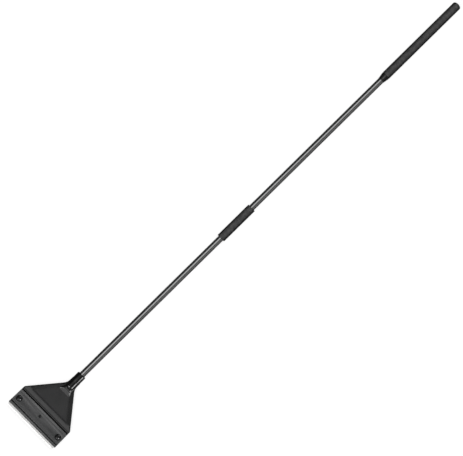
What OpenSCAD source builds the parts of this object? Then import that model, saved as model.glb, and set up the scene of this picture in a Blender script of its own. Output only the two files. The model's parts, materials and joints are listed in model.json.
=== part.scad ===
// Long-handled scraper for floors and walls. A steel blade is clamped under a plate on a
// flared moulded head, and a thin tube handle in two lengths screws together inside a
// textured sleeve.
//
// The tool lies on its back with its clamp screws facing up. X runs across the blade, +Y
// runs up the handle and +Z is up. The origin is on the back of the head, midway between
// the two clamp screws, and lengths along the handle are counted from there.

/* [Blade] */
// Width of the blade
blade_w = 100; // [80:1:101]
// Depth of the blade, from its cutting edge to its back edge
blade_d = 17; // [15:0.5:17]
// Thickness of the blade
blade_t = 0.6; // [0.4:0.1:0.8]
// Width of the ground bevels along the cutting edge
grind_w = 1.2; // [0.5:0.1:3]
// Distance from the clamp screws to the cutting edge
edge_reach = 20; // [20:0.5:22]

/* [Head] */
// Width of the head across the blade
head_w = 102.4; // [102:0.2:110]
// How much each straight side leans in towards the handle
side_draft = 0.7; // [0:0.1:2]
// Distance from the clamp screws to the corners where the flare starts
side_end = 18.2; // [17:0.2:22]
// Angle between each flared side and the handle
flare_angle = 39.3; // [37:0.1:42]
// Radius that blends each flared side into the socket
neck_r = 20; // [12:1:24]
// Height of the blade seat above the back of the head
seat_z = 7; // [6.5:0.1:7.5]
// Height of the web between the flared sides
web_top = 10; // [9.5:0.1:10.5]
// Thickness of the web
web_t = 4; // [3:0.5:5]
// Thickness of the rim and the ribs on the back
rib_t = 3; // [2:0.5:4]
// Half the width of the raised shoulder in front of the socket, at its front
shoulder_hw = 11; // [9:0.5:12]
// Height of the shoulder
shoulder_z = 11.9; // [11:0.1:12.6]
// Outer diameter of the handle socket
socket_d = 15; // [14:0.5:16]
// Distance from the clamp screws to the mouth of the socket
socket_end = 95; // [90:0.5:110]
// How deep the tube goes into the socket
socket_depth = 25.5; // [20:0.5:26]

/* [Clamp plate] */
// Height of the plate's flat top face
plate_top = 12.4; // [12:0.1:13]
// Distance from the clamp screws to the front of the plate's lip
plate_front = 15.2; // [14.5:0.1:16]
// Distance from the clamp screws to the back of the plate
plate_back = 12.9; // [11:0.1:13]
// Width of the bevel along the back of the plate
plate_bevel = 3; // [1:0.5:4]
// Length of the thinner lip in front of the groove
lip_len = 3.8; // [3:0.1:4.5]
// Width of the groove behind the lip, at the top
groove_w = 2.2; // [1.4:0.1:2.4]
// Depth of the groove
groove_d = 2.8; // [1.2:0.1:3]

/* [Fasteners] */
// Distance between the two clamp screws
screw_gap = 85.4; // [76:0.2:86]
// Thread diameter of the clamp screws
screw_d = 5; // [4:0.5:5]
// Diameter of the screw heads
screw_head_d = 9.4; // [8.6:0.2:9.6]
// Diameter of the locating peg in the middle of the plate
peg_d = 4.4; // [3:0.2:5]
// Diameter of the roll pin across the socket
socket_pin_d = 3; // [2:0.5:4]

/* [Handle] */
// Length of the whole tool, from cutting edge to grip end
overall_len = 940; // [900:5:1200]
// Outer diameter of the tubes
tube_d = 10; // [10:0.5:10.5]
// Wall thickness of the tubes
tube_wall = 1; // [0.8:0.1:1.2]
// Distance from the clamp screws to the joint of the two tubes
joint_y = 432.5; // [300:0.5:500]
// Outer diameter of the textured sleeve over the joint
sleeve_d = 14.3; // [14.2:0.1:16]
// Length of the textured sleeve
sleeve_len = 67.5; // [66:0.5:90]
// Thread diameter of the stud that joins the tubes
stud_d = 6; // [5:0.5:6]
// How far the stud screws into the lower tube
stud_engage = 15; // [12:1:17]

/* [Grip] */
// Outer diameter of the grip
grip_d = 14; // [13:0.5:18]
// Length of the grip
grip_len = 169.5; // [120:0.5:220]
// Length of the taper at the lower end of the grip
grip_taper = 13.5; // [8:0.5:30]
// Radius of the domed end of the grip
dome_r = 10.6; // [9.5:0.2:14]
// Radius that rounds the edge of the dome
dome_edge_r = 3; // [1:0.5:3]

/* [Hidden] */
$fn = 64;

// Radial gap of a pressed fit and of a running fit, and the gap between resting faces
press = 0.01;
run = 0.05;
rest = 0.02;
// How far a cutting shape runs past the face that it cuts
over = 1;

// Hidden fittings
insert_d = 7;
washer_t = 1;
washer_gap = 1;
bush_len = 24;
ferrule_pin_d = 2.5;
ferrule_wall = 1.1;
ferrule_grip = 30;
ferrule_reach = 31;
plug_cap_t = 1.6;
plug_len = 12;

// Heights, from the back of the head up to the top of the locating peg
axis_z = socket_d / 2;
insert_z = 0.9;
screw_tip_z = insert_z + 0.3;
insert_top = seat_z - rest;
blade_z = seat_z + 1.5 * rest;
heel_z = blade_z + blade_t + rest / 2;
plate_z = heel_z + rest;
recess_floor = 1.2;
recess_z = plate_z + recess_floor;
head_z = recess_z + washer_t + rest;
head_drop = 0.8;
peg_z = 2;
peg_top = plate_top - 1.8;

// Head, along the handle
seat_front = 0.7 - plate_front;
blade_gap = 0.1;
heel_y = blade_d - edge_reach + blade_gap;
peg_y = 3.1;
plate_gap = 2.2;
wall_y = plate_back + plate_gap;
gap_drop = 1.5;
wall_bevel = 0.7;
wall_top_y = wall_y + 1.6;
ramp_end_y = wall_y + 9.2;
corner_x = head_w / 2 - side_draft;
socket_r = socket_d / 2;
meet_y = side_end + (corner_x - socket_r) / tan(flare_angle);
neck_end_y = meet_y + neck_r * tan(flare_angle / 2);
dome_y = meet_y - 1;
shoulder_y = dome_y - 13.4;
shoulder_back_hw = 5.2;
shoulder_front_slope = 0.42;
shoulder_side_angle = 33;
tube_start = socket_end - socket_depth;
socket_pin_y = tube_start + 14;

// Handle, along its length
grip_end = overall_len - edge_reach;
grip_start = grip_end - grip_len;
grip_cap_t = 6;
upper_end = grip_end - grip_cap_t;
tube_id = tube_d - 2 * tube_wall;
lower_end = joint_y - washer_gap / 2;
upper_start = joint_y + washer_gap / 2;
ferrule_d = tube_d + 2 * ferrule_wall;
ferrule_start = lower_end - ferrule_grip;
ferrule_end = upper_start + ferrule_reach;
sleeve_lip = (sleeve_len - ferrule_end + ferrule_start) / 2;
sleeve_start = ferrule_start - sleeve_lip;
ferrule_pin_y = lower_end - bush_len + 4;

// Points along an arc from angle a to angle b
function arc(centre, r, a, b, steps = 6) =
  [for (i = [0:steps]) centre + r * [cos(a + (b - a) * i / steps), sin(a + (b - a) * i / steps)]];

// Mirror a list of points across the handle, in the opposite order
function mirrored(points) =
  [for (i = [len(points) - 1:-1:0]) [-points[i][0], points[i][1]]];

// Half width of the flared part of the head at a distance y
function flare_x(y) = corner_x - (y - side_end) * tan(flare_angle);

// Extrude a profile drawn in Y and Z across the tool, centred on the handle
module across(width) {
  translate([-width / 2, 0, 0])
    rotate([90, 0, 90])
      linear_extrude(width)
        children();
}

// Place a shape drawn along +Z so that it runs up the handle from a distance y
module up_handle(y) {
  translate([0, y, axis_z])
    rotate([-90, 0, 0])
      children();
}

// A plain tube or bush along the handle
module tube_between(y0, y1, d_out, d_in) {
  up_handle(y0)
    difference() {
      cylinder(h = y1 - y0, d = d_out);
      translate([0, 0, -over])
        cylinder(h = y1 - y0 + 2 * over, d = d_in);
    }
}

// A plain cylinder across the handle
module cross_cylinder(y, length, d) {
  translate([-length / 2, y, axis_z])
    rotate([0, 90, 0])
      cylinder(h = length, d = d);
}

// A roll pin across the handle: a thin tube with a slot along one side
module roll_pin(y, length, d) {
  difference() {
    cross_cylinder(y, length, d);
    cross_cylinder(y, length + 2 * over, d * 0.62);
    translate([-length / 2 - over, y - d * 0.1, axis_z])
      cube([length + 2 * over, d * 0.2, d]);
  }
}

// Repeat a shape at both clamp screws
module at_screws() {
  for (side = [-1, 1])
    translate([side * screw_gap / 2, 0, 0])
      children();
}

// ---- Head ----

module head_outline() {
  neck_centre = [socket_r + neck_r, neck_end_y];
  right = concat(
    [[head_w / 2, seat_front], [corner_x, side_end]],
    arc(neck_centre, neck_r, 180 + flare_angle, 180, 8)
  );
  polygon(concat(right, mirrored(right)));
}

// Section of the head along the handle: blade seat, heel, wall, ramp and web
module head_section() {
  polygon([
    [seat_front, 0],
    [seat_front, seat_z],
    [heel_y, seat_z],
    [heel_y, heel_z],
    [plate_back + rest, heel_z],
    [wall_y, heel_z - gap_drop],
    [wall_y, plate_top - wall_bevel],
    [wall_y + wall_bevel, plate_top],
    [wall_top_y, plate_top],
    [ramp_end_y, web_top],
    [neck_end_y, web_top],
    [neck_end_y, 0]
  ]);
}

// Raised shoulder with a sloping front and sides, narrowing towards the socket
module shoulder() {
  sunk = 0.2;
  narrowing = atan2(shoulder_hw - shoulder_back_hw, dome_y - shoulder_y);
  difference() {
    across(2 * shoulder_hw)
      polygon([
        [shoulder_y, web_top - sunk],
        [shoulder_y, web_top],
        [shoulder_y + (shoulder_z - web_top) / shoulder_front_slope, shoulder_z],
        [dome_y, shoulder_z],
        [dome_y, web_top - sunk]
      ]);
    for (side = [0, 1])
      mirror([side, 0, 0])
        translate([shoulder_hw, shoulder_y, web_top])
          rotate([0, shoulder_side_angle, narrowing])
            translate([-10, -10, 0])
              cube([20, 30, 10]);
  }
}

module socket_outside() {
  mouth_r = 1.8;
  translate([0, dome_y, axis_z])
    sphere(d = socket_d);
  up_handle(dome_y)
    rotate_extrude()
      polygon(concat(
        [[0, 0], [socket_r, 0]],
        arc([socket_r - mouth_r, socket_end - dome_y - mouth_r], mouth_r, 0, 90),
        [[0, socket_end - dome_y]]
      ));
}

// Hollows in the back of the head: a ribbed one behind the web, and one on each side of
// a middle rib behind the blade seat
module back_hollows() {
  front_y = side_end + rib_t;
  back_y = shoulder_y + 2;
  inset = rib_t / cos(flare_angle);
  spokes = [-24, 0, 24];
  middle_hw = 4;
  boss_hw = 9;
  seat_hollow = [
    screw_gap / 2 - boss_hw - middle_hw,
    side_end - seat_front - 1.5 * rib_t,
    seat_z - rib_t
  ];
  difference() {
    linear_extrude(web_top - web_t)
      polygon([
        [flare_x(front_y) - inset, front_y],
        [flare_x(back_y) - inset, back_y],
        [inset - flare_x(back_y), back_y],
        [inset - flare_x(front_y), front_y]
      ]);
    for (turn = spokes)
      translate([0, dome_y, 0])
        rotate([0, 0, turn])
          translate([-rib_t / 2, -dome_y, -over])
            cube([rib_t, dome_y, web_top]);
  }
  for (side = [0, 1])
    mirror([side, 0, 0])
      translate([middle_hw, seat_front + rib_t, 0])
        cube(seat_hollow);
}

module head_body() {
  color("#26272a")
    difference() {
      union() {
        intersection() {
          across(head_w + 2) head_section();
          linear_extrude(plate_top + over) head_outline();
        }
        intersection() {
          shoulder();
          linear_extrude(plate_top + over) head_outline();
        }
        socket_outside();
      }
      back_hollows();
      at_screws()
        translate([0, 0, insert_z])
          cylinder(h = plate_top, d = insert_d + 2 * press);
      translate([0, peg_y, peg_z])
        cylinder(h = plate_top, d = peg_d + 2 * press);
      up_handle(tube_start)
        cylinder(h = socket_depth + over, d = tube_d + 2 * press);
      cross_cylinder(socket_pin_y, socket_d + 2, socket_pin_d + 2 * press);
    }
}

module threaded_inserts() {
  color("#b8924a")
    at_screws()
      difference() {
        translate([0, 0, insert_z])
          cylinder(h = insert_top - insert_z, d = insert_d);
        cylinder(h = insert_top + over, d = screw_d + 2 * run);
      }
}

// Peg with a cone sunk into its top
module locating_peg() {
  lead_in = 0.3;
  cone_h = 1.6;
  cone_d = peg_d - 1.2;
  color("#2a2a2c")
    translate([0, peg_y, 0])
      difference() {
        union() {
          translate([0, 0, peg_z])
            cylinder(h = peg_top - lead_in - peg_z, d = peg_d);
          translate([0, 0, peg_top - lead_in])
            cylinder(h = lead_in, d1 = peg_d, d2 = peg_d - 2 * lead_in);
        }
        translate([0, 0, peg_top - cone_h])
          cylinder(h = cone_h + rest, d1 = 0, d2 = cone_d);
      }
}

module socket_pin() {
  pin_inset = 0.7;
  color("#9a9da1")
    roll_pin(socket_pin_y, socket_d - 2 * pin_inset, socket_pin_d);
}

// ---- Clamp plate and its screws ----

// Section of the plate along the handle: lip, groove, flat face and back bevel
module plate_section() {
  groove_front = lip_len - plate_front;
  groove_back = groove_front + groove_w;
  groove_slope = 0.6;
  lip_top = plate_top - 1;
  lip_slope = 0.5;
  nose = 0.8;
  polygon([
    [-plate_front, plate_z],
    [-plate_front, lip_top - 2 * nose],
    [-plate_front + nose, lip_top - lip_slope],
    [groove_front, lip_top],
    [groove_front + groove_slope, plate_top - groove_d],
    [groove_back - groove_slope, plate_top - groove_d],
    [groove_back, plate_top],
    [plate_back - plate_bevel, plate_top],
    [plate_back, plate_top - 0.4 * plate_bevel],
    [plate_back, plate_z]
  ]);
}

module clamp_plate() {
  lean = side_draft / (side_end - seat_front);
  front_x = head_w / 2;
  back_x = front_x - lean * (plate_front + plate_back);
  screw_play = 0.5;
  head_play = 0.8;
  peg_play = 0.3;
  color("#3a3b3e")
    difference() {
      intersection() {
        across(head_w + 2) plate_section();
        linear_extrude(plate_top + over)
          polygon([
            [-front_x, -plate_front],
            [front_x, -plate_front],
            [back_x, plate_back],
            [-back_x, plate_back]
          ]);
      }
      at_screws() {
        cylinder(h = plate_top + over, d = screw_d + screw_play);
        translate([0, 0, recess_z])
          cylinder(h = plate_top, d = screw_head_d + head_play);
      }
      translate([0, peg_y, 0])
        cylinder(h = plate_top + over, d = peg_d + peg_play);
    }
}

module lock_washers() {
  split = 0.8;
  color("#8a8d91")
    at_screws()
      translate([0, 0, recess_z])
        difference() {
          cylinder(h = washer_t, d = screw_head_d - 0.4);
          translate([0, 0, -over])
            cylinder(h = washer_t + 2 * over, d = screw_d + 0.3);
          translate([-split / 2, 0, -over])
            cube([split, screw_head_d, washer_t + 2 * over]);
        }
}

// Low pan-head screw with a cross recess
module clamp_screw(x) {
  rim = 0.9;
  crown = plate_top - head_drop - head_z - rim;
  head_r = screw_head_d / 2;
  crown_r = (head_r * head_r + crown * crown) / (2 * crown);
  crown_angle = acos(head_r / crown_r);
  tip_len = 0.6;
  slot = [5, 1.1, 2.6];
  color("#1d1e20")
    translate([x, 0, 0])
      difference() {
        union() {
          translate([0, 0, head_z])
            rotate_extrude()
              polygon(concat(
                [[0, 0], [head_r, 0]],
                arc([0, rim + crown - crown_r], crown_r, crown_angle, 90, 8)
              ));
          translate([0, 0, screw_tip_z + tip_len])
            cylinder(h = head_z - screw_tip_z - tip_len, d = screw_d);
          translate([0, 0, screw_tip_z])
            cylinder(h = tip_len, d1 = screw_d - 2 * tip_len, d2 = screw_d);
        }
        for (turn = [45, 135])
          translate([0, 0, plate_top - head_drop])
            rotate([0, 0, turn])
              cube(slot, center = true);
      }
}

module clamp_screw_left() {
  clamp_screw(-screw_gap / 2);
}

module clamp_screw_right() {
  clamp_screw(screw_gap / 2);
}

module blade() {
  edge_t = 0.04;
  mid_z = blade_z + blade_t / 2;
  color("#d8dadc")
    across(blade_w)
      polygon([
        [-edge_reach, mid_z - edge_t / 2],
        [-edge_reach + grind_w, blade_z],
        [blade_d - edge_reach, blade_z],
        [blade_d - edge_reach, blade_z + blade_t],
        [-edge_reach + grind_w, blade_z + blade_t],
        [-edge_reach, mid_z + edge_t / 2]
      ]);
}

// ---- Handle ----

module lower_tube() {
  color("#141416")
    difference() {
      tube_between(tube_start, lower_end, tube_d, tube_id);
      cross_cylinder(socket_pin_y, socket_d, socket_pin_d + 2 * press);
      cross_cylinder(ferrule_pin_y, socket_d, ferrule_pin_d + 2 * press);
    }
}

module lower_bush() {
  color("#a8aaad")
    difference() {
      tube_between(lower_end - bush_len, lower_end, tube_id - 2 * press, stud_d + 2 * run);
      cross_cylinder(ferrule_pin_y, socket_d, ferrule_pin_d + 2 * press);
    }
}

// The lower half grips the lower tube, and the upper half guides the upper one
module ferrule() {
  color("#8f9296")
    difference() {
      up_handle(ferrule_start)
        cylinder(h = ferrule_end - ferrule_start, d = ferrule_d);
      up_handle(ferrule_start - over)
        cylinder(h = joint_y - ferrule_start + over, d = tube_d + 2 * press);
      up_handle(joint_y)
        cylinder(h = ferrule_end - joint_y + over, d = tube_d + 2 * run);
      cross_cylinder(ferrule_pin_y, socket_d, ferrule_pin_d + 2 * press);
    }
}

module ferrule_pin() {
  color("#9a9da1")
    roll_pin(ferrule_pin_y, ferrule_d - 0.4, ferrule_pin_d);
}

// Sleeve with a lip at each end that hides the ends of the ferrule
module sleeve_cover() {
  end_r = 0.4;
  outer_r = sleeve_d / 2;
  lip_r = tube_d / 2 + 0.15;
  inner_r = ferrule_d / 2 + press;
  lip = sleeve_lip - rest;
  color("#2b2c2f")
    up_handle(sleeve_start)
      rotate_extrude()
        polygon(concat(
          arc([outer_r - end_r, end_r], end_r, -90, 0),
          arc([outer_r - end_r, sleeve_len - end_r], end_r, 0, 90),
          [
            [lip_r, sleeve_len],
            [lip_r, sleeve_len - lip],
            [inner_r, sleeve_len - lip],
            [inner_r, lip],
            [lip_r, lip],
            [lip_r, 0]
          ]
        ));
}

module joint_washer() {
  color("#d9d6cc")
    tube_between(lower_end + rest, upper_start - rest, tube_d - 0.2, stud_d + 0.2);
}

module threaded_stud() {
  tip = 0.8;
  low = lower_end - stud_engage;
  high = upper_start + 0.9 * bush_len;
  color("#a3a6aa") {
    up_handle(low + tip)
      cylinder(h = high - low - tip, d = stud_d);
    up_handle(low)
      cylinder(h = tip, d1 = stud_d - 1.4, d2 = stud_d);
  }
}

module upper_bush() {
  color("#a8aaad")
    tube_between(upper_start, upper_start + bush_len, tube_id - 2 * press, stud_d + 2 * press);
}

module upper_tube() {
  color("#141416")
    tube_between(upper_start, upper_end, tube_d, tube_id);
}

module tube_plug() {
  color("#cfcac0") {
    up_handle(upper_end)
      cylinder(h = plug_cap_t, d = tube_d - 0.2);
    up_handle(upper_end - plug_len)
      cylinder(h = plug_len, d = tube_id - 2 * press);
  }
}

// Moulded grip, tapered at its lower end, with a shallow dome on its closed end
module grip() {
  r = grip_d / 2;
  foot_r = 0.25;
  start_r = tube_d / 2 + 0.3;
  hollow_end = upper_end + plug_cap_t + rest;
  // The edge radius touches both the dome and the side
  edge_x = r - dome_edge_r;
  edge_drop = sqrt(pow(dome_r - dome_edge_r, 2) - edge_x * edge_x);
  dome_centre = grip_len - dome_r;
  edge_angle = atan2(edge_drop, edge_x);
  color("#2b2c2f")
    up_handle(grip_start)
      difference() {
        rotate_extrude()
          polygon(concat(
            [[0, 0]],
            arc([start_r - foot_r, foot_r], foot_r, -90, 0),
            [[r, grip_taper]],
            arc([edge_x, dome_centre + edge_drop], dome_edge_r, 0, edge_angle),
            arc([0, dome_centre], dome_r, edge_angle, 90, 8)
          ));
        translate([0, 0, -over])
          cylinder(h = hollow_end - grip_start + over, d = tube_d + 2 * press);
      }
}

head_body();
threaded_inserts();
locating_peg();
clamp_plate();
lock_washers();
clamp_screw_left();
clamp_screw_right();
blade();
socket_pin();
lower_tube();
lower_bush();
ferrule();
ferrule_pin();
sleeve_cover();
joint_washer();
threaded_stud();
upper_bush();
upper_tube();
tube_plug();
grip();
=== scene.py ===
"""Looks for the long-handled scraper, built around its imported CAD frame.

Shapes are worked out in millimetres in the frame's own axes: X across the blade, +Y up the
handle, +Z out of the face with the clamp screws. They are scaled to metres when a mesh is made.
"""

import json
import math

import bmesh
import bpy
import numpy as np
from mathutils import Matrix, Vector


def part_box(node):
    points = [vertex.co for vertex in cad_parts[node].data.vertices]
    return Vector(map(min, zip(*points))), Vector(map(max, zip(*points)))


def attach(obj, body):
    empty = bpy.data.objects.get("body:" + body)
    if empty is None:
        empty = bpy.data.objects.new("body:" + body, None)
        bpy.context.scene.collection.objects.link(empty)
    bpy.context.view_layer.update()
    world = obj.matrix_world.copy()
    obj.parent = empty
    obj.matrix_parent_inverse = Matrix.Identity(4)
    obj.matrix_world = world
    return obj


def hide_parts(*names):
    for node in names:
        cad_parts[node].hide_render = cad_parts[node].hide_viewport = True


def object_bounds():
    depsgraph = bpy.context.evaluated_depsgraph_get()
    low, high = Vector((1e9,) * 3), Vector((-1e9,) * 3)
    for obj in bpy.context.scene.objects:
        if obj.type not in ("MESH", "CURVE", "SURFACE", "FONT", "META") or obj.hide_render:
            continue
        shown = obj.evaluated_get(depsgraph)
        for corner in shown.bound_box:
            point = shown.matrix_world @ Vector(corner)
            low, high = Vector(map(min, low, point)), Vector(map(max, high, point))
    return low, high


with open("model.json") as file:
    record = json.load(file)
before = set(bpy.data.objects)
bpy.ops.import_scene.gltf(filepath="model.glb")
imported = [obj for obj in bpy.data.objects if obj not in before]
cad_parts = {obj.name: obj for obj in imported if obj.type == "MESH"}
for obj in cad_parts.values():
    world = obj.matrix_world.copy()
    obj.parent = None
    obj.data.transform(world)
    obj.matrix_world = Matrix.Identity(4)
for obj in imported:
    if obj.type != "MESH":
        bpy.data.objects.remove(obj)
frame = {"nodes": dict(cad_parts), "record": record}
cad_box = [list(corner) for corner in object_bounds()]

MM = 0.001
TURN = 2 * math.pi
MERGE_DISTANCE = 0.002


# ---------------------------------------------------------------- places from the frame


def box_mm(node):
    """Lowest and highest corner of a CAD node, in millimetres."""
    low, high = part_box(node)
    return np.array(low) / MM, np.array(high) / MM


HEAD_LOW, HEAD_HIGH = box_mm("head_body")
PLATE_LOW, PLATE_HIGH = box_mm("clamp_plate")
BLADE_LOW, BLADE_HIGH = box_mm("blade")
INSERT_LOW, INSERT_HIGH = box_mm("threaded_inserts")
PEG_LOW, PEG_HIGH = box_mm("locating_peg")
WASHER_LOW, WASHER_HIGH = box_mm("lock_washers")
SCREW_LOW, SCREW_HIGH = box_mm("clamp_screw_right")
SOCKET_PIN_LOW, SOCKET_PIN_HIGH = box_mm("socket_pin")
TUBE_LOW, TUBE_HIGH = box_mm("lower_tube")
UPPER_LOW, UPPER_HIGH = box_mm("upper_tube")
SLEEVE_LOW, SLEEVE_HIGH = box_mm("sleeve_cover")
FERRULE_LOW, FERRULE_HIGH = box_mm("ferrule")
STUD_LOW, STUD_HIGH = box_mm("threaded_stud")
PLUG_HIGH = box_mm("tube_plug")[1]
GRIP_LOW, GRIP_HIGH = box_mm("grip")

AXIS_Z = (TUBE_LOW[2] + TUBE_HIGH[2]) / 2
SCREW_X = (SCREW_LOW[0] + SCREW_HIGH[0]) / 2
PEG_Y = (PEG_LOW[1] + PEG_HIGH[1]) / 2
TUBE_R = TUBE_HIGH[0]
SOCKET_R = HEAD_HIGH[2] - AXIS_Z


# ---------------------------------------------------------------- meshes


def mesh_object(name, points, faces):
    """A new object from points in millimetres, with doubles merged and normals outwards."""
    mesh = bpy.data.meshes.new(name)
    mesh.from_pydata((np.asarray(points) * MM).tolist(), [], [list(map(int, f)) for f in faces])
    work = bmesh.new()
    work.from_mesh(mesh)
    bmesh.ops.remove_doubles(work, verts=work.verts, dist=MERGE_DISTANCE * MM)
    bmesh.ops.recalc_face_normals(work, faces=work.faces)
    work.to_mesh(mesh)
    work.free()
    piece = bpy.data.objects.new(name, mesh)
    bpy.context.scene.collection.objects.link(piece)
    return piece


def grid_faces(rows, columns, wrap_rows=False):
    """Quads of a grid of points whose columns always close on themselves."""
    faces = []
    for row in range(rows if wrap_rows else rows - 1):
        after = (row + 1) % rows
        for column in range(columns):
            beside = (column + 1) % columns
            faces.append(
                (
                    row * columns + column,
                    row * columns + beside,
                    after * columns + beside,
                    after * columns + column,
                )
            )
    return faces


def arc(centre, radius, start, end, steps=6):
    """Points of an arc, with its angles in degrees."""
    angles = np.radians(np.linspace(start, end, steps + 1))
    return [(centre[0] + radius * math.cos(a), centre[1] + radius * math.sin(a)) for a in angles]


def revolve(name, profile, segments, place, relief=None, closed=True):
    """Turn a profile of (radius, height) points about an axis.

    place maps (radius cosine, radius sine, height) to the frame. relief gives the depth to
    take off the radius at each angle and height. A closed profile is a ring with a bore.
    """
    profile = np.array(profile, float)
    angle = np.arange(segments) / segments * TURN
    radius = np.repeat(profile[:, 0][:, None], segments, axis=1)
    height = np.repeat(profile[:, 1][:, None], segments, axis=1)
    if relief is not None:
        radius = radius - relief(angle[None, :], height, radius)
    points = place(radius * np.cos(angle), radius * np.sin(angle), height)
    points = np.stack(points, axis=-1).reshape(-1, 3)
    return mesh_object(name, points, grid_faces(len(profile), segments, wrap_rows=closed))


def up_handle(across, up, along):
    """Place a shape drawn about the handle's axis."""
    return across, along, AXIS_Z + up


def upright_at(x, y):
    """Place a shape drawn about a vertical axis at x, y."""

    def place(across, along, up):
        return across + x, along + y, up

    return place


def add_bevel(piece, width, segments=3, angle=40):
    """Round the sharp edges of a piece."""
    bevel = piece.modifiers.new("bevel", "BEVEL")
    bevel.width = width * MM
    bevel.segments = segments
    bevel.limit_method = "ANGLE"
    bevel.angle_limit = math.radians(angle)


def apply_modifiers(piece):
    """Make a piece's modifiers part of its mesh."""
    graph = bpy.context.evaluated_depsgraph_get()
    made = bpy.data.meshes.new_from_object(piece.evaluated_get(graph))
    old = piece.data
    piece.modifiers.clear()
    piece.data = made
    bpy.data.meshes.remove(old)


def cut(piece, cutters):
    """Take cutter objects away from a piece, and delete them."""
    for cutter in cutters:
        difference = piece.modifiers.new("cut", "BOOLEAN")
        difference.operation = "DIFFERENCE"
        difference.solver = "EXACT"
        difference.object = cutter
    apply_modifiers(piece)
    for cutter in cutters:
        bpy.data.objects.remove(cutter)


# ---------------------------------------------------------------- distance fields


def join_round(a, b, radius):
    """Union of two distances, with a fillet where they meet."""
    u = np.maximum(radius - a, 0)
    v = np.maximum(radius - b, 0)
    return np.maximum(radius, np.minimum(a, b)) - np.sqrt(u * u + v * v)


def keep_both(a, b, radius):
    """Intersection of two distances, with its edge rounded."""
    u = np.maximum(radius + a, 0)
    v = np.maximum(radius + b, 0)
    return np.minimum(-radius, np.maximum(a, b)) + np.sqrt(u * u + v * v)


def soft_max(a, b, blend):
    """The larger of two heights, eased over a blend distance."""
    overlap = np.maximum(blend - np.abs(a - b), 0)
    return np.maximum(a, b) + overlap * overlap / (4 * blend)


def soft_min(a, b, blend):
    """The smaller of two heights, eased over a blend distance."""
    return -soft_max(-a, -b, blend)


def ease(t):
    """A smooth step from 0 to 1."""
    t = np.clip(t, 0, 1)
    return t * t * (3 - 2 * t)


def shifted(shape, offset):
    """Slices that take a block of a grid, starting at offset and one shorter than the grid."""
    return tuple(slice(o, o + s) for o, s in zip(offset, shape))


def surface_net(field, low, high, cell):
    """Quad mesh of the surface where a distance field is zero, between two corners."""
    axes = [np.arange(a - 2 * cell, b + 3 * cell, cell) for a, b in zip(low, high)]
    value = field(*np.meshgrid(*axes, indexing="ij"))
    shape = tuple(n - 1 for n in value.shape)
    total = np.zeros(shape + (3,))
    count = np.zeros(shape)
    for axis in range(3):
        step = np.eye(3, dtype=int)[axis]
        side, other = (np.eye(3, dtype=int)[(axis + k) % 3] for k in (1, 2))
        for corner in (0 * step, side, other, side + other):
            a = value[shifted(shape, corner)]
            b = value[shifted(shape, corner + step)]
            crosses = (a < 0) != (b < 0)
            share = np.where(crosses, a / np.where(crosses, a - b, 1), 0)
            total += crosses[..., None] * corner + share[..., None] * step
            count += crosses
    used = count > 0
    number = np.full(shape, -1)
    number[used] = np.arange(used.sum())
    spot = np.argwhere(used) + total[used] / count[used][:, None]
    points = spot * cell + np.array([a[0] for a in axes])
    faces = []
    for axis in range(3):
        step = np.eye(3, dtype=int)[axis]
        side, other = (np.eye(3, dtype=int)[(axis + k) % 3] for k in (1, 2))
        reach = tuple(n - 1 for n in shape)
        a = value[shifted(reach, side + other)] < 0
        b = value[shifted(reach, side + other + step)] < 0
        ring = [number[shifted(reach, c)] for c in (0 * step, side, side + other, other)]
        for crosses, order in ((a & ~b, (0, 1, 2, 3)), (b & ~a, (3, 2, 1, 0))):
            faces.append(np.stack([ring[k][crosses] for k in order], axis=1))
    return settle(field, points, cell), np.concatenate(faces)


def settle(field, points, cell, rounds=3):
    """Move points onto the surface where a distance field is zero, half a cell a round at most."""
    small = 0.02 * cell
    least_slope = 0.2
    for _ in range(rounds):
        slope = np.stack(
            [
                (field(*(points + small * d).T) - field(*(points - small * d).T)) / (2 * small)
                for d in np.eye(3)
            ],
            axis=1,
        )
        steep = np.maximum((slope * slope).sum(axis=1), least_slope)
        move = field(*points.T)[:, None] * slope / steep[:, None]
        points = points - np.clip(move, -0.5 * cell, 0.5 * cell)
    return points


# ---------------------------------------------------------------- materials


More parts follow.
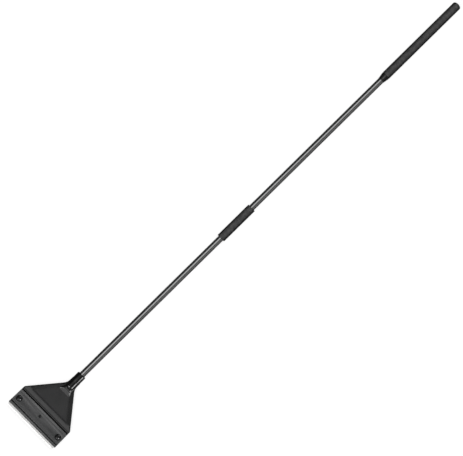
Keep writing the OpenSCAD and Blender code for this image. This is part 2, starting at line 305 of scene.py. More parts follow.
class Nodes:
    """A short way to build a material's nodes."""

    def __init__(self, name):
        self.material = bpy.data.materials.new(name)
        self.material.use_nodes = True
        self.tree = self.material.node_tree
        self.shader = self.tree.nodes["Principled BSDF"]
        self.place = self.tree.nodes.new("ShaderNodeTexCoord").outputs["Object"]

    def add(self, kind, inputs=(), **settings):
        """A node of a kind, with its settings, and its inputs linked or set."""
        node = self.tree.nodes.new("ShaderNode" + kind)
        for key, setting in settings.items():
            setattr(node, key, setting)
        for key, source in dict(inputs).items():
            self.put(node.inputs[key], source)
        return node

    def put(self, socket, source):
        """Link a socket to another node's output, or give it a value."""
        if isinstance(source, bpy.types.NodeSocket):
            self.tree.links.new(source, socket)
        else:
            socket.default_value = source

    def noise(self, size, detail=2.0, rough=0.5, stretch=(1, 1, 1)):
        """Noise whose features are about size millimetres across."""
        scale = [s / (size * MM) for s in stretch]
        spot = self.add("Mapping", {"Vector": self.place, "Scale": scale}).outputs[0]
        return self.add(
            "TexNoise", {"Vector": spot, "Scale": 1.0, "Detail": detail, "Roughness": rough}
        ).outputs["Fac"]

    def along(self):
        """Distance up the handle, in metres."""
        return self.add("SeparateXYZ", {"Vector": self.place}).outputs["Y"]

    def spread(self, value, low, high, start, end):
        """Map a value from low..high to start..end, held at both ends."""
        return self.add(
            "MapRange",
            {"Value": value, "From Min": low, "From Max": high, "To Min": start, "To Max": end},
        ).outputs["Result"]

    def mix(self, share, first, second):
        """Mix two colours."""
        node = self.add("Mix", data_type="RGBA")
        self.put(node.inputs["Factor"], share)
        self.put(node.inputs[6], first)
        self.put(node.inputs[7], second)
        return node.outputs[2]

    def bump(self, height, depth, strength=1.0):
        """Bump whose height of 1 stands depth millimetres out of the surface."""
        node = self.add("Bump", {"Height": height, "Distance": depth * MM, "Strength": strength})
        self.tree.links.new(node.outputs["Normal"], self.shader.inputs["Normal"])

    def set(self, **inputs):
        """Set or link the main shader's inputs, with _ for each space in a name."""
        for key, source in inputs.items():
            self.put(self.shader.inputs[key.replace("_", " ")], source)
        return self.material


def grey(level, warmth=0.0):
    """A nearly neutral colour, a little bluer at negative warmth."""
    return (level * (1 + warmth), level, level * (1 - warmth), 1.0)


def moulded_plastic(name, level, rough, specular, polish_and_shade_from=None):
    """Satin moulded plastic: fine spark-eroded texture, faint flow marks and light scuffs.

    Beyond a given distance up the handle it grows smoother, and its colour is painted darker there
    as shade.
    """
    polish_run = 8
    polished_rough = 0.22
    n = Nodes(name)
    flow = n.noise(38, 3)
    clouds = n.spread(flow, 0.35, 0.65, 0, 1)
    scuff = n.spread(n.noise(2.2, 5, 0.62, (1, 0.35, 1)), 0.63, 0.72, 0, 1)
    colour = n.mix(clouds, grey(level * 0.88, -0.02), grey(level * 1.14, -0.03))
    colour = n.mix(n.spread(scuff, 0, 1, 0, 0.16), colour, grey(level * 2.6))
    shade = n.spread(flow, 0.3, 0.7, rough - 0.04, rough + 0.05)
    grain_share = 1.0
    if polish_and_shade_from is not None:
        polish_and_shade_end = polish_and_shade_from + polish_run
        polish_and_shade = n.spread(n.along(), polish_and_shade_from * MM, polish_and_shade_end * MM, 0, 1)
        # Painted shade: over the smoother part, on the shoulder and socket, the colour is darkened.
        colour = n.mix(polish_and_shade, colour, grey(level * 0.4))
        shade = n.spread(polish_and_shade, 0, 1, shade, polished_rough)
        grain_share = n.spread(polish_and_shade, 0, 1, 1.0, 0.05)
    n.bump(n.noise(0.35, 1.5), 0.022, grain_share)
    return n.set(Base_Color=colour, Roughness=shade, Specular_IOR_Level=specular)


COLLAR_LEN = 11.0


def grip_rubber(name, level, rough):
    """Matt rubber, dustier in patches, with a very fine grain.

    Its sides are painted darker where the surface is seen at a slant: painted shade for the
    shadows in its texture. The collar at the foot of the grip is smooth, clean and darker too.
    """
    n = Nodes(name)
    dust = n.spread(n.noise(4.5, 3, 0.6), 0.4, 0.64, 0, 1)
    colour = n.mix(dust, grey(level * 0.7, -0.02), grey(level * 1.6, 0.01))
    # Painted shade: the colour darkens towards the sides, where the surface is seen at a slant.
    slant = n.add("LayerWeight", {"Blend": 0.5}).outputs["Facing"]
    slant_shade = n.spread(slant, 0.14, 0.36, 0, 0.85)
    colour = n.mix(slant_shade, colour, grey(level * 0.2))
    n.bump(n.noise(0.25, 1.0), 0.02)
    along = n.along()
    past_foot = n.spread(along, (GRIP_LOW[1] - 1) * MM, GRIP_LOW[1] * MM, 0, 1)
    collar_end = (GRIP_LOW[1] + COLLAR_LEN) * MM
    collar = n.spread(along, collar_end, collar_end + 0.5 * MM, past_foot, 0)
    colour = n.mix(collar, colour, grey(level * 0.15))
    shade = n.spread(dust, 0, 1, rough - 0.05, rough + 0.08)
    shade = n.spread(collar, 0, 1, shade, 0.3)
    gloss = n.spread(slant_shade, 0, 0.85, 0.35, 0.08)
    return n.set(Base_Color=colour, Roughness=shade, Specular_IOR_Level=gloss)


def glossy_enamel(name, level):
    """Glossy black enamel with faint orange peel and a few hairline rubs along the tube."""
    n = Nodes(name)
    rub = n.spread(n.noise(1.1, 3, 0.6, (1, 0.04, 1)), 0.66, 0.74, 0, 1)
    colour = n.mix(n.spread(rub, 0, 1, 0, 0.2), grey(level, -0.02), grey(level * 4))
    n.bump(n.noise(1.6, 1.0), 0.006)
    shade = n.spread(n.noise(25, 3), 0.3, 0.7, 0.14, 0.2)
    return n.set(Base_Color=colour, Roughness=shade, IOR=1.7)


def ground_steel(name, level, rough, lines=(0.02, 1, 1), tone=0.0, oil=0.0):
    """Bare steel with fine grinding lines, faint stains and an optional film of oil."""
    n = Nodes(name)
    grain = n.noise(0.12, 2, 0.6, lines)
    stain = n.spread(n.noise(12, 4, 0.6), 0.4, 0.7, 0, 1)
    colour = n.mix(stain, grey(level, tone), grey(level * 0.86, tone + 0.015))
    colour = n.mix(n.spread(grain, 0.3, 0.7, 0, 0.18), colour, grey(level * 0.75, tone))
    n.bump(grain, 0.004)
    shade = n.spread(grain, 0.3, 0.7, rough - 0.05, rough + 0.08)
    n.set(Coat_Weight=oil, Coat_Roughness=0.1)
    return n.set(Base_Color=colour, Roughness=shade, Metallic=1.0)


def brass_metal(name):
    """Turned brass, slightly tarnished."""
    n = Nodes(name)
    tarnish = n.spread(n.noise(1.5, 4), 0.4, 0.7, 0, 1)
    colour = n.mix(tarnish, (0.62, 0.43, 0.17, 1), (0.40, 0.27, 0.10, 1))
    n.bump(n.noise(0.1, 1, 0.5, (1, 1, 0.1)), 0.004)
    return n.set(Base_Color=colour, Roughness=n.spread(tarnish, 0, 1, 0.24, 0.42), Metallic=1.0)


def natural_nylon(name):
    """Translucent-looking off-white nylon."""
    n = Nodes(name)
    cloud = n.noise(4, 3)
    colour = n.mix(cloud, (0.66, 0.63, 0.55, 1), (0.52, 0.49, 0.42, 1))
    n.bump(n.noise(0.3, 1), 0.01)
    return n.set(Base_Color=colour, Roughness=n.spread(cloud, 0.3, 0.7, 0.42, 0.55))


def pale_floor(name):
    """A plain floor that the camera sees as nearly white, with its shadows washed out."""
    level_for_object, level_for_camera = 0.16, 0.22
    lift_for_camera = 0.74
    n = Nodes(name)
    cloud = n.noise(300, 2)
    seen = n.add("LightPath").outputs["Is Camera Ray"]
    seen_colour = n.mix(cloud, grey(level_for_camera), grey(level_for_camera + 0.02))
    colour = n.mix(seen, grey(level_for_object), seen_colour)
    shade = n.spread(cloud, 0.3, 0.7, 0.85, 0.95)
    n.set(Emission_Color=grey(1.0), Emission_Strength=n.spread(seen, 0, 1, 0, lift_for_camera))
    return n.set(Base_Color=colour, Roughness=shade, Specular_IOR_Level=0.1)


FINISH = {
    "head_nylon": moulded_plastic("head_nylon", 0.0015, 0.27, 0.15, polish_and_shade_from=62),
    "plate_nylon": moulded_plastic("plate_nylon", 0.019, 0.38, 0.33),
    "grip_rubber": grip_rubber("grip_rubber", 0.021, 0.62),
    "tube_enamel": glossy_enamel("tube_enamel", 0.006),
    "blade_steel": ground_steel("blade_steel", 0.345, 0.34, (1, 0.02, 1)),
    "plain_steel": ground_steel("plain_steel", 0.55, 0.32, (0.05, 1, 1)),
    "dark_steel": ground_steel("dark_steel", 0.007, 0.3, (1, 1, 0.2), -0.03, oil=0.2),
    "brass": brass_metal("brass"),
    "washer_nylon": natural_nylon("washer_nylon"),
}


def dress(piece, body, material_slot, *replaced, sharp=35):
    """Shade a new piece, and tie it to its body, its finish and the CAD nodes it stands for."""
    mesh = piece.data
    mesh.shade_smooth()
    mesh.set_sharp_from_angle(angle=math.radians(sharp))
    mesh.materials.clear()
    mesh.materials.append(FINISH[material_slot])
    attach(piece, body)
    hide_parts(*replaced)


# ---------------------------------------------------------------- head

# Outline in plan: sides that lean in a little, then a flare down to the socket
FLARE = math.radians(39.3)
SIDE_DRAFT = 0.7
SIDE_END = 18.2
SIDE_LEAN = SIDE_DRAFT / (SIDE_END - HEAD_LOW[1])
CORNER_X = HEAD_HIGH[0] - SIDE_DRAFT
MEET_Y = SIDE_END + (CORNER_X - SOCKET_R) / math.tan(FLARE)
NECK_END = MEET_Y + 10.2

# Blade seat, the heel behind it and the gap behind the plate
SEAT_Z = BLADE_LOW[2] - 0.03
HEEL_Y = BLADE_HIGH[1] + 0.1
HEEL_Z = PLATE_LOW[2] - 0.02
GAP_DROP = 1.5
WALL_Y = PLATE_HIGH[1] + 2.2
WALL_TOP = PLATE_HIGH[2]

# Web, and the ramp down to it from the wall
WEB_TOP = HEAD_HIGH[2] - 5
WEB_T = 4
WEB_CROWN = 0.45
RIB_T = 3
RIB_TURNS = (-24, 0, 24)
RAMP_START = WALL_Y + 1.6
RAMP_END = WALL_Y + 9.2

# Shoulder and socket
DOME_Y = MEET_Y - 1
SHOULDER_Y = DOME_Y - 13.4
SHOULDER_SLOPE = 0.42
SHOULDER_FRONT_X = 11
SHOULDER_BACK_X = 5.2
SHOULDER_TAPER = (SHOULDER_FRONT_X - SHOULDER_BACK_X) / (DOME_Y - SHOULDER_Y)
FLANK_SLOPE = 0.65
SHOULDER_RISE = 1.9
SOCKET_WAIST = 0.25

# Cell of the head's mesh
HEAD_CELL = 0.55


def head_plan(x, y):
    """Distance to the flared outline in plan, without the blend into the socket."""
    side = np.abs(x)
    straight = side - HEAD_HIGH[0] + SIDE_LEAN * (y - HEAD_LOW[1])
    flared = (side - CORNER_X + (y - SIDE_END) * math.tan(FLARE)) * math.cos(FLARE)
    return keep_both(straight, flared, 0.5)


def head_top(x, y, plan):
    """Height of the head's upper face behind the wall: ramp, web and shoulder."""
    slope = (WALL_TOP - WEB_TOP) / (RAMP_END - RAMP_START)
    ramp = soft_min(WALL_TOP, WALL_TOP - slope * (y - RAMP_START), 0.5)
    crown = WEB_CROWN * ease((plan + 8) / 8)
    ground = soft_max(ramp, WEB_TOP - crown, 0.6)
    foot = SHOULDER_BACK_X + SHOULDER_TAPER * (DOME_Y - y)
    sides = soft_min(SHOULDER_SLOPE * (y - SHOULDER_Y), FLANK_SLOPE * (foot - np.abs(x)), 0.4)
    rise = soft_max(0.0, soft_min(SHOULDER_RISE, sides, 0.5), 0.12)
    return ground + rise


def back_hollows(x, y, z, plan):
    """Distance to the hollows between the ribs on the back of the head."""
    corner = 0.8
    web = keep_both(plan + RIB_T, z - (WEB_TOP - WEB_T), corner)
    web = keep_both(web, SIDE_END + RIB_T - y, corner)
    web = keep_both(web, y - SHOULDER_Y - 2, corner)
    for turn in RIB_TURNS:
        a = math.radians(turn)
        off_rib = np.abs(x * math.cos(a) + (y - DOME_Y) * math.sin(a))
        web = keep_both(web, RIB_T / 2 - off_rib, corner)
    side = np.abs(x)
    middle_half, boss_half = 4, 9
    seat = keep_both(middle_half - side, side - (SCREW_X - boss_half), corner)
    seat = keep_both(seat, HEAD_LOW[1] + RIB_T - y, corner)
    seat = keep_both(seat, y - (SIDE_END - RIB_T / 2), corner)
    seat = keep_both(seat, z - (SEAT_Z - RIB_T), corner)
    return np.minimum(web, seat)


def head_slab(x, y, z, plan, off_axis):
    """Distance to the flat part of the head, which fades out along the socket."""
    neck_inset, neck_fillet = 0.5, 4.5
    outline = join_round(plan, np.abs(x) - SOCKET_R + neck_inset, neck_fillet)
    outline = keep_both(outline, HEAD_LOW[1] - y, 0.6)
    seat = np.minimum(HEEL_Y - y, z - SEAT_Z)
    into_gap = np.clip((y - PLATE_HIGH[1]) / (WALL_Y - PLATE_HIGH[1]), 0, 1)
    low_part = np.maximum(z - (HEEL_Z - GAP_DROP * into_gap), seat)
    high_part = keep_both(WALL_Y - y, z - head_top(x, y, plan), 0.7)
    edge = 0.5 + 1.2 * ease((y - WALL_Y) / 8)
    slab = keep_both(outline, np.minimum(low_part, high_part), edge)
    slab = keep_both(slab, -z, 0.7)
    fade_slope, fade_scale = 0.7, 0.82
    fade = (off_axis - SOCKET_R - fade_slope * (NECK_END + 3 - y)) * fade_scale
    return keep_both(slab, fade, 2.0)


def head_socket(x, y, off_axis):
    """Distance to the round socket, with a slight waist and a domed end."""
    waist = SOCKET_WAIST * (1 - ease((y - DOME_Y - 8) / 10))
    longer_at_sides = 0.45 * soft_max(np.abs(x) - 2.5, 0.0, 1.5)
    past_end = np.maximum(DOME_Y - longer_at_sides - y, 0)
    socket = np.hypot(off_axis, past_end) - SOCKET_R + waist
    return keep_both(socket, y - HEAD_HIGH[1], 1.8)


def head_holes(x, y, z, off_axis):
    """Distance to each hole in the head, with the rounding of its edge."""
    press = 0.01
    bore = np.maximum(off_axis - TUBE_R - 0.05, TUBE_LOW[1] - y)
    insert_r = INSERT_HIGH[0] - SCREW_X + press
    insert = np.maximum(np.hypot(np.abs(x) - SCREW_X, y) - insert_r, INSERT_LOW[2] - z)
    peg = np.maximum(np.hypot(x, y - PEG_Y) - PEG_HIGH[0] - press, PEG_LOW[2] - z)
    pin_y = (SOCKET_PIN_LOW[1] + SOCKET_PIN_HIGH[1]) / 2
    pin = np.hypot(y - pin_y, z - AXIS_Z) - (SOCKET_PIN_HIGH[1] - pin_y) - press
    return ((bore, 0.5), (insert, 0.2), (peg, 0.2), (pin, 0.25))


def head_field(x, y, z):
    """Distance to the moulded head, in millimetres."""
    plan = head_plan(x, y)
    off_axis = np.hypot(x, z - AXIS_Z)
    slab = head_slab(x, y, z, plan, off_axis)
    fillet = 0.5 + 2.0 * ease((np.abs(x) - 5) / 2) * ease((y - DOME_Y) / 4)
    solid = join_round(slab, head_socket(x, y, off_axis), fillet)
    for hole, edge in head_holes(x, y, z, off_axis):
        solid = keep_both(solid, -hole, edge)
    return keep_both(solid, -back_hollows(x, y, z, plan), 0.4)


def build_head():
    """One moulding, meshed from its distance field."""
    points, faces = surface_net(head_field, HEAD_LOW, HEAD_HIGH, HEAD_CELL)
    points = np.clip(points, HEAD_LOW, HEAD_HIGH)
    head = mesh_object("moulded_head", points, faces)
    dress(head, "lower_pole", "head_nylon", "head_body", sharp=50)


# ---------------------------------------------------------------- clamp plate and screws

LIP_LEN = 3.8
LIP_DROP = 1.0
GROOVE_W = 2.2
GROOVE_D = 2.8
GROOVE_SLOPE = 1.0
PLATE_BEVEL = 3.0
SCREW_HOLE_R = 2.75
SCREW_HEAD_R = SCREW_HIGH[0] - SCREW_X
RECESS_R = SCREW_HEAD_R + 0.4
THREAD_PITCH = 0.8
THREAD_STEPS = 8


def prism(name, section, left, right):
    """A solid between two copies of a section of (y, z) points, with x given by left and right."""
    count = len(section)
    points = [(left(y), y, z) for y, z in section] + [(right(y), y, z) for y, z in section]
    sides = [(k, (k + 1) % count, count + (k + 1) % count, count + k) for k in range(count)]
    return mesh_object(name, points, sides + [tuple(range(count)), tuple(range(count, 2 * count))])


def plate_section():
    """Section of the clamp plate: lip with a rounded nose, groove, flat face and back bevel."""
    front, back, under, top = PLATE_LOW[1], PLATE_HIGH[1], PLATE_LOW[2], PLATE_HIGH[2]
    groove = front + LIP_LEN
    lip_top = top - LIP_DROP
    return [
        (front, under),
        (front, lip_top - 1.6),
        (front + 0.8, lip_top - 0.5),
        (groove, lip_top),
        (groove + GROOVE_SLOPE, top - GROOVE_D),
        (groove + GROOVE_W - GROOVE_SLOPE, top - GROOVE_D),
        (groove + GROOVE_W, top),
        (back - PLATE_BEVEL, top),
        (back, top - 0.4 * PLATE_BEVEL),
        (back, under),
    ]


def screw_recess(x):
    """Cutter for a screw's hole and recess, which has a rounded mouth."""
    start, end = PLATE_LOW[2] - 2, PLATE_HIGH[2] + 2
    floor, top = WASHER_LOW[2], PLATE_HIGH[2]
    mouth_r = RECESS_R + 0.45
    profile = [(0, start), (SCREW_HOLE_R, start), (SCREW_HOLE_R, floor), (RECESS_R, floor)]
    profile += [(RECESS_R, top - 0.3), (RECESS_R + 0.1, top - 0.1), (mouth_r, top + 0.05)]
    profile += [(mouth_r, end), (0, end)]
    return revolve("recess", profile, 72, upright_at(x, 0), closed=False)


def peg_hole():
    """Cutter for the hole round the locating peg."""
    start, end = PLATE_LOW[2] - 2, PLATE_HIGH[2] + 2
    top = PLATE_HIGH[2]
    hole_r = PEG_HIGH[0] + 0.15
    mouth_r = hole_r + 0.35
    profile = [(0, start), (hole_r, start), (hole_r, top - 0.25)]
    profile += [(mouth_r, top + 0.05), (mouth_r, end), (0, end)]
    return revolve("peg_hole", profile, 48, upright_at(0, PEG_Y), closed=False)


def build_plate():
    """The clamp plate, with its holes cut after its edges are rounded."""

    def right(y):
        return PLATE_HIGH[0] - SIDE_LEAN * (y - PLATE_LOW[1])

    def left(y):
        return -right(y)

    plate = prism("clamp_cover", plate_section(), left, right)
    add_bevel(plate, 0.22, angle=14)
    apply_modifiers(plate)
    cut(plate, [screw_recess(-SCREW_X), screw_recess(SCREW_X), peg_hole()])
    dress(plate, "clamp", "plate_nylon", "clamp_plate", sharp=28)


def thread_relief(pitch, depth, low, high, run_out=1.0):
    """Depth of a thread between two heights, fading to a full shank at its high end.

    It is right-handed where the angle and the height follow the right-hand rule.
    """

    def relief(angle, height):
        phase = (height / pitch - angle / TURN) % 1.0
        tooth = np.clip(np.abs(phase - 0.5) * 2 * 1.25 - 0.1, 0, 1)
        fade = np.clip((high - height) / run_out, 0, 1) * (height > low - 0.001)
        return depth * (1 - tooth) * fade

    return relief


def build_screw(side, node, body):
    """Low pan-head machine screw with a cross recess and a real thread."""
    top, tip = SCREW_HIGH[2], SCREW_LOW[2]
    under = WASHER_HIGH[2] + 0.02
    shank_r = 2.5
    shank_end = under - 0.1
    tip_len = 0.6
    rim = 0.75
    foot_r = 0.2
    crown = top - under - rim
    ball_r = (SCREW_HEAD_R**2 + crown**2) / (2 * crown)
    edge_angle = math.degrees(math.acos(SCREW_HEAD_R / ball_r))
    rows = np.arange(tip + 0.7, shank_end, THREAD_PITCH / THREAD_STEPS)
    profile = [(0, tip), (shank_r - tip_len, tip), (shank_r, tip + tip_len)]
    profile += [(shank_r, h) for h in rows]
    profile += [(shank_r, under - 0.05), (shank_r + 0.1, under)]
    profile += arc((SCREW_HEAD_R - foot_r, under + foot_r), foot_r, -90, 0, 3)
    profile += arc((0, top - ball_r), ball_r, edge_angle, 90, 10)
    thread = thread_relief(THREAD_PITCH, 0.42, tip, under - 0.4)

    def on_shank(angle, height, radius):
        return np.where(height < shank_end, thread(angle, height), 0) * (radius > 1)

    name = "cross_screw_left" if side < 0 else "cross_screw_right"
    screw = revolve(name, profile, 48, upright_at(side * SCREW_X, 0), on_shank, closed=False)
    cut(screw, [cross_wing(side * SCREW_X, top, turn) for turn in (45, 135)])
    dress(screw, body, "dark_steel", node, sharp=32)


def cross_wing(x, top, turn):
    """One wing of a cross recess, narrowing towards its bottom."""
    deep, shallow = top - 1.35, top + 0.4
    rings = []
    for z, half_l, half_w in ((deep, 1.1, 0.32), (shallow, 2.9, 0.62)):
        for across, along in ((-1, -1), (1, -1), (1, 1), (-1, 1)):
            rings.append((across * half_l, along * half_w, z))
    a = math.radians(turn)
    points = [
        (x + p * math.cos(a) - q * math.sin(a), p * math.sin(a) + q * math.cos(a), z)
        for p, q, z in rings
    ]
    faces = [(3, 2, 1, 0), (4, 5, 6, 7), (0, 1, 5, 4), (1, 2, 6, 5), (2, 3, 7, 6), (3, 0, 4, 7)]
    return mesh_object("wing", points, faces)


def spring_ring(x, steps=60):
    """Points and faces of one split spring washer, its ends a little apart in height."""
    outer = WASHER_HIGH[0] - SCREW_X - 0.02
    inner = 2.67
    half_gap = 5.0
    lift = 0.12
    edge_r = 0.12
    low, high = WASHER_LOW[2] + edge_r, WASHER_HIGH[2] - lift - edge_r
    section = arc((outer - edge_r, low), edge_r, -90, 0, 3)
    section += arc((outer - edge_r, high), edge_r, 0, 90, 3)
    section += arc((inner + edge_r, high), edge_r, 90, 180, 3)
    section += arc((inner + edge_r, low), edge_r, 180, 270, 3)
    points = []
    for angle in np.radians(np.linspace(90 + half_gap, 450 - half_gap, steps)):
        climb = lift * (angle / TURN - 0.25)
        points += [(x + s * math.cos(angle), s * math.sin(angle), z + climb) for s, z in section]
    count = len(section)
    ends = [tuple(range(start, start + count)) for start in (0, (steps - 1) * count)]
    return points, grid_faces(steps, count) + ends


def build_washers():
    """Both spring washers, as one piece."""
    points, faces = [], []
    for side in (-1, 1):
        more_points, more_faces = spring_ring(side * SCREW_X)
        faces += [tuple(len(points) + k for k in face) for face in more_faces]
        points += more_points
    washers = mesh_object("spring_washers", points, faces)
    dress(washers, "clamp", "dark_steel", "lock_washers", sharp=40)


# ---------------------------------------------------------------- handle

DIAMONDS = 24
DIAMOND_LEN = 2.6
DIAMOND_DEPTH = 0.28
KNURL_STEPS = 6


def knurl(low, high, edge):
    """Raised diamonds between two heights, with plain bands beyond them."""

    def relief(angle, height):
        around = angle / TURN * DIAMONDS
        along = height / DIAMOND_LEN
        one = np.abs((around + along) % 1.0 - 0.5) * 2
        two = np.abs((around - along) % 1.0 - 0.5) * 2
        line = 1 - np.clip(2.2 * np.minimum(1 - one, 1 - two), 0, 1)
        inside = ease((height - low) / edge) * ease((high - height) / edge)
        return DIAMOND_DEPTH * line * inside

    return relief


def only_outside(relief, outer):
    """Keep a relief to the outer wall of a revolved piece."""

    def kept(angle, height, radius):
        return np.where(radius > outer - 0.01, relief(angle, height), 0)

    return kept


def tube_piece(name, low, high, body, node):
    """A drawn tube with rounded lips."""
    wall = 1.0
    inner = TUBE_R - wall
    lip = 0.25
    rows = np.linspace(low, high, 14)[1:-1]
    profile = arc((TUBE_R - lip, low + lip), lip, -90, 0, 3)
    profile += [(TUBE_R, h) for h in rows]
    profile += arc((TUBE_R - lip, high - lip), lip, 0, 90, 3)
    profile += arc((inner + lip, high - lip), lip, 90, 180, 3)
    profile += [(inner, h) for h in reversed(rows)]
    profile += arc((inner + lip, low + lip), lip, 180, 270, 3)
    dress(revolve(name, profile, 96, up_handle), body, "tube_enamel", node, sharp=50)


def build_sleeve():
    """The sleeve, hollow round the ferrule, with a plain band at each end."""
    low, high, outer = SLEEVE_LOW[1], SLEEVE_HIGH[1], SLEEVE_HIGH[0]
    gap = 0.02
    lip_r = TUBE_R + 0.15
    lip_edge = 0.3
    inner = FERRULE_HIGH[0] + gap
    hollow_low, hollow_high = FERRULE_LOW[1] - gap, FERRULE_HIGH[1] + gap
    band = 2.4
    end_r = 0.4
    profile = arc((outer - end_r, low + end_r), end_r, -90, 0, 5)
    rows = np.arange(low + end_r + 0.2, high - end_r - 0.2, DIAMOND_LEN / KNURL_STEPS)
    profile += [(outer, h) for h in rows]
    profile += arc((outer - end_r, high - end_r), end_r, 0, 90, 5)
    profile += [(lip_r + lip_edge, high), (lip_r, high - lip_edge), (lip_r, hollow_high)]
    profile += [(inner, hollow_high), (inner, hollow_low), (lip_r, hollow_low)]
    profile += [(lip_r, low + lip_edge), (lip_r + lip_edge, low)]
    texture = only_outside(knurl(low + band, high - band, 0.8), outer)
    sleeve = revolve("textured_sleeve", profile, DIAMONDS * KNURL_STEPS, up_handle, texture)
    dress(sleeve, "lower_pole", "grip_rubber", "sleeve_cover", sharp=60)


def build_grip():
    """The grip: a tapered foot, a knurled barrel and a domed end, closed over the tube plug."""
    low, high, outer = GRIP_LOW[1], GRIP_HIGH[1], GRIP_HIGH[0]
    start_r = TUBE_R + 0.3
    foot_r = 0.25
    taper_end = low + 13.5
    dome_r, edge_r = 10.6, 3.0
    gap = 0.02
    edge_x = outer - edge_r
    edge_drop = math.sqrt((dome_r - edge_r) ** 2 - edge_x**2)
    edge_angle = math.degrees(math.atan2(edge_drop, edge_x))
    straight_end = high - dome_r + edge_drop
    profile = arc((start_r - foot_r, low + foot_r), foot_r, -90, 0, 4)
    for t in np.linspace(0, 1, 14)[1:]:
        swell = start_r + (outer - start_r) * math.sin(t * math.pi / 2) ** 1.25
        profile.append((swell, low + foot_r + t * (taper_end - low - foot_r)))
    rows = np.arange(taper_end, straight_end, DIAMOND_LEN / KNURL_STEPS)[1:]
    profile += [(outer, h) for h in rows]
    profile += arc((edge_x, straight_end), edge_r, 0, edge_angle, 6)
    profile += arc((0, high - dome_r), dome_r, edge_angle, 90, 8)[1:]
    inner, hollow_end = TUBE_R + gap, PLUG_HIGH[1] + gap
    profile += [(0, hollow_end), (inner, hollow_end), (inner, low + 0.3), (inner + 0.2, low)]
    texture = only_outside(knurl(taper_end + 1, straight_end - 4, 1.2), outer)
    grip = revolve("hand_grip", profile, DIAMONDS * KNURL_STEPS, up_handle, texture)
    dress(grip, "upper_pole", "grip_rubber", "grip", sharp=60)


def build_stud():
    """The stud, with a right-hand thread along its whole length.

    Its angle is turned round, because up_handle swaps two axes and so mirrors a shape.
    """
    low, high, radius = STUD_LOW[1], STUD_HIGH[1], STUD_HIGH[0]
    pitch = 1.0
    rows = np.arange(low + 0.9, high - 0.7, pitch / THREAD_STEPS)
    profile = [(0, low), (radius - 0.7, low), (radius, low + 0.8)]
    profile += [(radius, h) for h in rows]
    profile += [(radius, high - 0.6), (radius - 0.5, high), (0, high)]
    thread = thread_relief(pitch, 0.52, low, high, 0.3)

    def on_wall(angle, height, at_radius):
        return np.where(at_radius > 2, thread(-angle, height), 0)

    stud = revolve("stud_thread", profile, 48, up_handle, on_wall, closed=False)
    dress(stud, "upper_pole", "plain_steel", "threaded_stud", sharp=32)


def dress_kept_nodes():
    """Finish the CAD parts that keep their own shape, and break all their edges but the blade's."""
    breaks = {
        "blade": 0.0,
        "threaded_inserts": 0.18,
        "locating_peg": 0.12,
        "socket_pin": 0.15,
        "lower_bush": 0.2,
        "ferrule": 0.25,
        "ferrule_pin": 0.15,
        "joint_washer": 0.12,
        "upper_bush": 0.2,
        "tube_plug": 0.25,
    }
    slots = {part["node"]: part["material_slot"] for part in frame["record"]["subparts"]}
    for node, width in breaks.items():
        piece = frame["nodes"][node]
        piece.data.materials.clear()
        piece.data.materials.append(FINISH[slots[node]])
        if width:
            add_bevel(piece, width, 2)


# ---------------------------------------------------------------- stage


def direction(tilt, towards):
    """A unit vector tilted from straight up, in degrees, towards a compass angle from +X."""
    t, c = math.radians(tilt), math.radians(towards)
    return Vector((math.sin(t) * math.cos(c), math.sin(t) * math.sin(c), math.cos(t)))


# Each is a tilt from straight up, a compass angle from +X, a spread and a strength. The shades
# darken the left, overhead and right of the studio. The boxes stand in front of the blade,
# high and low, and behind it: they draw the lip, the shoulder, and the ramp with the bevel.
SHADES = ((60, 180, 40, 0.92), (0, 0, 12, 0.68), (36, 0, 32, 0.88))
SOFT_BOXES = ((20, -92, 10, 9.5), (47, -93, 12, 10.5), (36, 93, 13, 12.0))
GLOW = {"From Min": 0.05, "From Max": 0.65, "To Min": 0.15, "To Max": 1.5}


def studio_light():
    """A soft studio round the object: a glow that grows with height, shades and soft boxes."""
    world = bpy.data.worlds.new("studio")
    bpy.context.scene.world = world
    world.use_nodes = True
    tree = world.node_tree
    tree.nodes.clear()

    def node(kind, **settings):
        made = tree.nodes.new("ShaderNode" + kind)
        for key, setting in settings.items():
            setattr(made, key, setting)
        return made

    ray = node("TexCoord").outputs["Generated"]

    def toward(axis):
        dot = node("VectorMath", operation="DOT_PRODUCT")
        tree.links.new(ray, dot.inputs[0])
        dot.inputs[1].default_value = axis
        return dot.outputs["Value"]

    def math_node(operation, first, second=0.0):
        made = node("Math", operation=operation)
        for socket, source in zip(made.inputs, (first, second)):
            if isinstance(source, bpy.types.NodeSocket):
                tree.links.new(source, socket)
            else:
                socket.default_value = source
        return made.outputs[0]

    def soft_box(tilt, towards, spread, strength):
        """A glow that falls off smoothly from the middle of a soft box."""
        away = math_node("SUBTRACT", 1.0, toward(direction(tilt, towards)))
        fall = math_node("MULTIPLY", away, -1 / (1 - math.cos(math.radians(spread))))
        return math_node("MULTIPLY", math_node("EXPONENT", fall), strength)

    height = node("MapRange", interpolation_type="SMOOTHSTEP")
    tree.links.new(toward((0, 0, 1)), height.inputs["Value"])
    for key, setting in GLOW.items():
        height.inputs[key].default_value = setting
    light = height.outputs["Result"]
    for shade in SHADES:
        passed = math_node("SUBTRACT", 1.0, soft_box(*shade))
        light = math_node("MULTIPLY", passed, light)
    for box in SOFT_BOXES:
        light = math_node("ADD", light, soft_box(*box))

    seen = node("Background")
    seen.inputs["Color"].default_value = (0.93, 0.93, 0.94, 1)
    lit = node("Background")
    tree.links.new(light, lit.inputs["Strength"])
    choose = node("MixShader")
    tree.links.new(node("LightPath").outputs["Is Camera Ray"], choose.inputs[0])
    tree.links.new(lit.outputs[0], choose.inputs[1])
    tree.links.new(seen.outputs[0], choose.inputs[2])
    tree.links.new(choose.outputs[0], node("OutputWorld").inputs["Surface"])


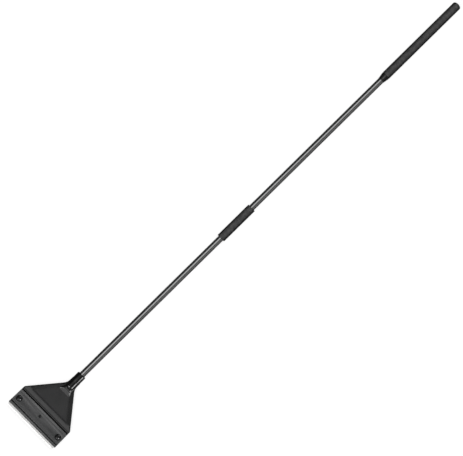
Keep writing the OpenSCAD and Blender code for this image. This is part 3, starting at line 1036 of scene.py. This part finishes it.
def add_soft_sun(name, tilt, towards, width, energy, receivers):
    """A far soft box, width degrees across, that lights only the pieces named."""
    data = bpy.data.lights.new(name, "SUN")
    data.angle = math.radians(width)
    data.energy = energy
    light = bpy.data.objects.new(name, data)
    bpy.context.scene.collection.objects.link(light)
    light.rotation_euler = direction(tilt, towards).to_track_quat("Z", "Y").to_euler()
    lit = bpy.data.collections.new(name)
    for piece in receivers:
        lit.objects.link(bpy.data.objects[piece])
    light.light_linking.receiver_collection = lit


TUBES = ("enamel_tube_lower", "enamel_tube_upper")
SCREWS = ("cross_screw_left", "cross_screw_right")

# Each is a name, a tilt, a compass angle, a width, a strength and the pieces it lights. In turn
# they draw the line along the tubes, lift the tubes' dark side, light the head from the right,
# and make the glints on the end of the socket and in the screw recesses.
SUNS = (
    ("handle_light", 13, 180, 44, 2.1, TUBES),
    ("handle_fill", 62, 0, 70, 0.95, TUBES),
    ("head_light", 66, 4, 26, 8.0, ("moulded_head",)),
    ("dome_light", 33, -132, 8, 5.6, ("moulded_head",)),
    ("screw_light", 28, -30, 14, 2.4, SCREWS),
)


def add_floor():
    """A wide floor just under the tool."""
    half = 6000
    gap = 0.15
    corners = [(-half, -half, -gap), (half, -half, -gap), (half, half, -gap), (-half, half, -gap)]
    floor = mesh_object("floor", corners, [(0, 1, 2, 3)])
    floor.data.materials.append(pale_floor("pale_floor"))


def add_camera():
    """Straight above the tool, turned so that the handle runs from lower left to upper right."""
    shown_share = 0.7696
    aim_across, aim_along = 0.4, -27.7
    turn = 45.43
    data = bpy.data.cameras.new("camera")
    camera = bpy.data.objects.new("camera", data)
    bpy.context.scene.collection.objects.link(camera)
    data.lens = 180
    data.clip_end = 100
    start, end = cad_box[0][1], cad_box[1][1]
    away = shown_share * (end - start) * data.lens / data.sensor_width
    middle = (start + end) / 2
    camera.location = (aim_across * MM, middle + aim_along * MM, AXIS_Z * MM + away)
    camera.rotation_euler = (0, 0, math.radians(turn))
    bpy.context.scene.camera = camera


def set_picture():
    """Plain colours, with no film look."""
    scene = bpy.context.scene
    scene.view_settings.view_transform = "Standard"
    scene.view_settings.look = "None"
    scene.view_settings.exposure = 0
    scene.view_settings.gamma = 1


build_head()
build_plate()
build_screw(-1, "clamp_screw_left", "left_screw")
build_screw(1, "clamp_screw_right", "right_screw")
build_washers()
tube_piece("enamel_tube_lower", TUBE_LOW[1], TUBE_HIGH[1], "lower_pole", "lower_tube")
tube_piece("enamel_tube_upper", UPPER_LOW[1], UPPER_HIGH[1], "upper_pole", "upper_tube")
build_sleeve()
build_grip()
build_stud()
dress_kept_nodes()
studio_light()
for sun in SUNS:
    add_soft_sun(*sun)
add_floor()
add_camera()
set_picture()
